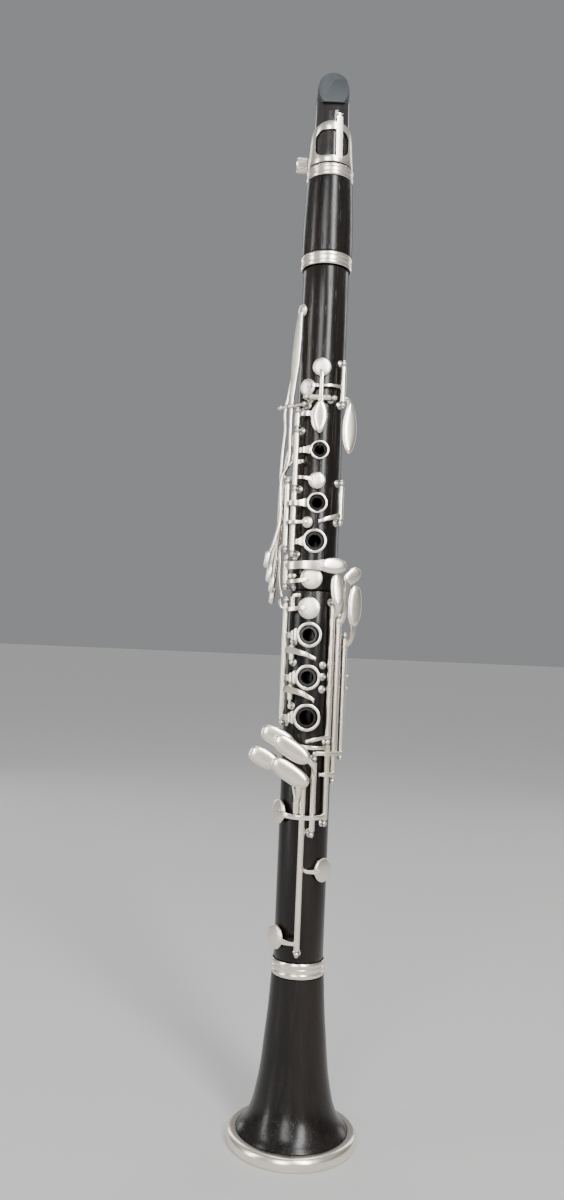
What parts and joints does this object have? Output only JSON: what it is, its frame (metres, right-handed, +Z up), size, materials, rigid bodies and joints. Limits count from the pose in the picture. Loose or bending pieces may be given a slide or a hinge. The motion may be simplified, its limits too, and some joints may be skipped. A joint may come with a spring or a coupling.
{
  "type": "clarinet",
  "caption": "Soprano clarinet standing on its bell: dark wooden tube in sections, nickel-plated keys on rods, ring keys, mouthpiece with reed and ligature.",
  "frame": {"origin": "centre of the bell mouth, on the plane the bell stands on", "axes": "+Z up the bore towards the mouthpiece tip, -Y towards the finger holes and rings, +X to the right in front view"},
  "size_m": [0.0788, 0.0788, 0.6682],
  "materials": {
    "grenadilla": "oiled and polished",
    "nickel_plate": "polished plate with fine wear",
    "blued_steel_rod": "plated posts and steel rods",
    "ebonite": "polished hard rubber",
    "grey_rubber": "satin",
    "cane": "raw reed",
    "cork": "waxed sheet cork"
  },
  "bodies": {
    "bell_section": {"bell": "grenadilla", "bell_rim_ring": "nickel_plate", "bell_socket_ring": "nickel_plate"},
    "lower_section": {"lower_joint": "grenadilla", "thumb_rest": "nickel_plate", "ring_key_posts_and_rod": "blued_steel_rod", "lower_sliver_posts_and_rod": "blued_steel_rod", "long_line_1_posts_and_rod": "blued_steel_rod", "long_line_2_posts_and_rod": "blued_steel_rod", "long_line_3_posts_and_rod": "blued_steel_rod", "centre_line_posts_and_rod": "blued_steel_rod", "f_key_posts_and_rod": "blued_steel_rod", "e_flat_key_posts_and_rod": "blued_steel_rod"},
    "upper_section": {"upper_joint": "grenadilla", "middle_tenon_cork": "cork", "upper_tenon_cork": "cork", "a_key_posts_and_rod": "blued_steel_rod", "g_sharp_key_posts_and_rod": "blued_steel_rod", "inner_line_posts_and_rod": "blued_steel_rod", "outer_line_posts_and_rod": "blued_steel_rod", "thumb_ring_posts_and_rod": "blued_steel_rod", "register_key_posts_and_rod": "blued_steel_rod", "side_key_upper_posts_and_rod": "blued_steel_rod", "side_key_lower_posts_and_rod": "blued_steel_rod", "upper_sliver_posts_and_rod": "blued_steel_rod", "c_sharp_key_posts_and_rod": "blued_steel_rod"},
    "barrel_section": {"barrel": "grenadilla", "barrel_lower_ring": "nickel_plate", "barrel_upper_ring": "nickel_plate"},
    "mouthpiece_section": {"mouthpiece": "ebonite", "mouthpiece_tenon_cork": "cork", "reed": "cane", "ligature": "nickel_plate", "beak_patch": "grey_rubber"},
    "ligature_screw": {"ligature_screw": "nickel_plate"},
    "throat_a_key": {"throat_a_key": "nickel_plate"},
    "throat_g_sharp_key": {"throat_g_sharp_key": "nickel_plate"},
    "throat_link_key": {"throat_link_key": "nickel_plate"},
    "first_ring_key": {"first_ring_key": "nickel_plate"},
    "third_ring_key": {"third_ring_key": "nickel_plate"},
    "second_ring_key": {"second_ring_key": "nickel_plate"},
    "thumb_ring_key": {"thumb_ring_key": "nickel_plate"},
    "register_key": {"register_key": "nickel_plate"},
    "upper_sliver_key": {"upper_sliver_key": "nickel_plate"},
    "c_sharp_key": {"c_sharp_key": "nickel_plate"},
    "right_ring_key": {"right_ring_key": "nickel_plate"},
    "upper_banana_key": {"upper_banana_key": "nickel_plate"},
    "lower_banana_key": {"lower_banana_key": "nickel_plate"},
    "long_f_sharp_key": {"long_f_sharp_key": "nickel_plate"},
    "long_e_key": {"long_e_key": "nickel_plate"},
    "long_f_key": {"long_f_key": "nickel_plate"},
    "f_sharp_key": {"f_sharp_key": "nickel_plate"},
    "e_flat_key": {"e_flat_key": "nickel_plate"},
    "e_key": {"e_key": "nickel_plate"},
    "f_key": {"f_key": "nickel_plate"},
    "side_key_1": {"side_key_1": "nickel_plate"},
    "side_key_2": {"side_key_2": "nickel_plate"},
    "side_key_3": {"side_key_3": "nickel_plate"},
    "side_key_4": {"side_key_4": "nickel_plate"}
  },
  "joints": [
    {"name": "bell_tenon_slide", "type": "slide", "parent": "bell_section", "child": "lower_section", "axis": [0, 0, 1], "range_m": [0, 0.016]},
    {"name": "middle_tenon_slide", "type": "slide", "parent": "lower_section", "child": "upper_section", "axis": [0, 0, 1], "range_m": [0, 0.016]},
    {"name": "barrel_tenon_slide", "type": "slide", "parent": "upper_section", "child": "barrel_section", "axis": [0, 0, 1], "range_m": [0, 0.016]},
    {"name": "mouthpiece_tenon_slide", "type": "slide", "parent": "barrel_section", "child": "mouthpiece_section", "axis": [0, 0, 1], "range_m": [0, 0.015]},
    {"name": "ligature_screw_turn", "type": "hinge", "parent": "mouthpiece_section", "child": "ligature_screw", "pos_m": [-0.014, 0.0156, 0.6124], "axis": [1, 0, 0], "range_deg": [-180, 180]},
    {"name": "throat_a_key_turn", "type": "hinge", "parent": "upper_section", "child": "throat_a_key", "pos_m": [-0.00135, -0.0185, 0.451], "axis": [1, 0, 0], "range_deg": [0, 4], "stiffness_Nm_per_rad": 0.05, "springref_deg": -11.46},
    {"name": "throat_g_sharp_key_turn", "type": "hinge", "parent": "upper_section", "child": "throat_g_sharp_key", "pos_m": [0.0129, -0.0115, 0.4616], "axis": [0, 0, 1], "range_deg": [0, 5], "stiffness_Nm_per_rad": 0.05, "springref_deg": -11.46},
    {"name": "throat_link_key_turn", "type": "hinge", "parent": "upper_section", "child": "throat_link_key", "pos_m": [-0.0143, -0.0123, 0.438], "axis": [0, 0, 1], "range_deg": [0, 6], "stiffness_Nm_per_rad": 0.05, "springref_deg": -11.46},
    {"name": "first_ring_key_turn", "type": "hinge", "parent": "upper_section", "child": "first_ring_key", "pos_m": [-0.0143, -0.0123, 0.4136], "axis": [0, 0, 1], "range_deg": [0, 4], "stiffness_Nm_per_rad": 0.05, "springref_deg": -11.46},
    {"name": "third_ring_key_turn", "type": "hinge", "parent": "upper_section", "child": "third_ring_key", "pos_m": [-0.0143, -0.0123, 0.37525], "axis": [0, 0, 1], "range_deg": [0, 4], "stiffness_Nm_per_rad": 0.05, "springref_deg": -11.46},
    {"name": "second_ring_key_turn", "type": "hinge", "parent": "upper_section", "child": "second_ring_key", "pos_m": [-0.0186, -0.0078, 0.3795], "axis": [0, 0, 1], "range_deg": [0, 4], "stiffness_Nm_per_rad": 0.05, "springref_deg": -11.46},
    {"name": "thumb_ring_key_turn", "type": "hinge", "parent": "upper_section", "child": "thumb_ring_key", "pos_m": [0.0126, 0.0126, 0.413], "axis": [0, 0, 1], "range_deg": [0, 4], "stiffness_Nm_per_rad": 0.05, "springref_deg": -11.46},
    {"name": "register_key_turn", "type": "hinge", "parent": "upper_section", "child": "register_key", "pos_m": [0, 0.0185, 0.47], "axis": [-1, 0, 0], "range_deg": [0, 3], "stiffness_Nm_per_rad": 0.05, "springref_deg": -11.46},
    {"name": "upper_sliver_key_turn", "type": "hinge", "parent": "upper_section", "child": "upper_sliver_key", "pos_m": [0.0142, -0.0113, 0.3878], "axis": [0, 0, -1], "range_deg": [0, 4], "stiffness_Nm_per_rad": 0.05, "springref_deg": -11.46},
    {"name": "c_sharp_key_turn", "type": "hinge", "parent": "upper_section", "child": "c_sharp_key", "pos_m": [-0.0176, -0.011, 0.34385], "axis": [0, 0, 1], "range_deg": [0, 3.5], "stiffness_Nm_per_rad": 0.05, "springref_deg": -11.46},
    {"name": "right_ring_key_turn", "type": "hinge", "parent": "lower_section", "child": "right_ring_key", "pos_m": [-0.0166, -0.01, 0.28965], "axis": [0, 0, 1], "range_deg": [0, 4], "stiffness_Nm_per_rad": 0.05, "springref_deg": -11.46},
    {"name": "upper_banana_key_turn", "type": "hinge", "parent": "lower_section", "child": "upper_banana_key", "pos_m": [-0.012, -0.0126, 0.2951], "axis": [0, 0, 1], "range_deg": [0, 4], "stiffness_Nm_per_rad": 0.05, "springref_deg": -11.46},
    {"name": "lower_banana_key_turn", "type": "hinge", "parent": "lower_section", "child": "lower_banana_key", "pos_m": [-0.012, -0.0126, 0.271], "axis": [0, 0, 1], "range_deg": [0, 4], "stiffness_Nm_per_rad": 0.05, "springref_deg": -11.46},
    {"name": "long_f_sharp_key_turn", "type": "hinge", "parent": "lower_section", "child": "long_f_sharp_key", "pos_m": [0.0117, -0.0132, 0.2841], "axis": [0, 0, 1], "range_deg": [0, 2.5], "stiffness_Nm_per_rad": 0.05, "springref_deg": -11.46},
    {"name": "long_e_key_turn", "type": "hinge", "parent": "lower_section", "child": "long_e_key", "pos_m": [0.0158, -0.0113, 0.2686], "axis": [0, 0, 1], "range_deg": [0, 2.5], "stiffness_Nm_per_rad": 0.05, "springref_deg": -11.46},
    {"name": "long_f_key_turn", "type": "hinge", "parent": "lower_section", "child": "long_f_key", "pos_m": [0.0202, -0.0065, 0.2695], "axis": [0, 0, 1], "range_deg": [0, 2.5], "stiffness_Nm_per_rad": 0.05, "springref_deg": -11.46},
    {"name": "f_sharp_key_turn", "type": "hinge", "parent": "lower_section", "child": "f_sharp_key", "pos_m": [0.0117, -0.0132, 0.2175], "axis": [0, 0, -1], "range_deg": [0, 2.5], "stiffness_Nm_per_rad": 0.05, "springref_deg": -11.46},
    {"name": "e_flat_key_turn", "type": "hinge", "parent": "lower_section", "child": "e_flat_key", "pos_m": [0.004, -0.0183, 0.20945], "axis": [0, 0, -1], "range_deg": [0, 3], "stiffness_Nm_per_rad": 0.05, "springref_deg": -11.46},
    {"name": "e_key_turn", "type": "hinge", "parent": "lower_section", "child": "e_key", "pos_m": [-0.002, -0.0188, 0.1681], "axis": [0, 0, -1], "range_deg": [0, 2.5], "stiffness_Nm_per_rad": 0.05, "springref_deg": -11.46},
    {"name": "f_key_turn", "type": "hinge", "parent": "lower_section", "child": "f_key", "pos_m": [-0.0058, -0.0184, 0.2046], "axis": [0, 0, -1], "range_deg": [0, 4], "stiffness_Nm_per_rad": 0.05, "springref_deg": -11.46},
    {"name": "side_key_1_turn", "type": "hinge", "parent": "upper_section", "child": "side_key_1", "pos_m": [-0.01859, -0.00841, 0.4472], "axis": [0.735, -0.678, 0], "range_deg": [0, 1], "stiffness_Nm_per_rad": 0.05, "springref_deg": -11.46},
    {"name": "side_key_2_turn", "type": "hinge", "parent": "upper_section", "child": "side_key_2", "pos_m": [-0.02124, -0.00597, 0.4472], "axis": [0.735, -0.678, 0], "range_deg": [0, 1], "stiffness_Nm_per_rad": 0.05, "springref_deg": -11.46},
    {"name": "side_key_3_turn", "type": "hinge", "parent": "upper_section", "child": "side_key_3", "pos_m": [-0.0208, 0.0048, 0.404], "axis": [0, -1, 0], "range_deg": [0, 1.7], "stiffness_Nm_per_rad": 0.05, "springref_deg": -11.46},
    {"name": "side_key_4_turn", "type": "hinge", "parent": "upper_section", "child": "side_key_4", "pos_m": [-0.0208, 0.0091, 0.404], "axis": [0, -1, 0], "range_deg": [0, 1.7], "stiffness_Nm_per_rad": 0.05, "springref_deg": -11.46}
  ],
  "couplings": [
    {"joint": "throat_link_key_turn", "follows": "throat_a_key_turn", "ratio": 1.5},
    {"joint": "thumb_ring_key_turn", "follows": "first_ring_key_turn", "ratio": 1},
    {"joint": "second_ring_key_turn", "follows": "right_ring_key_turn", "ratio": 1},
    {"joint": "long_f_sharp_key_turn", "follows": "f_sharp_key_turn", "ratio": 1},
    {"joint": "long_e_key_turn", "follows": "e_key_turn", "ratio": 1},
    {"joint": "f_key_turn", "follows": "long_f_key_turn", "ratio": 1.6}
  ]
}
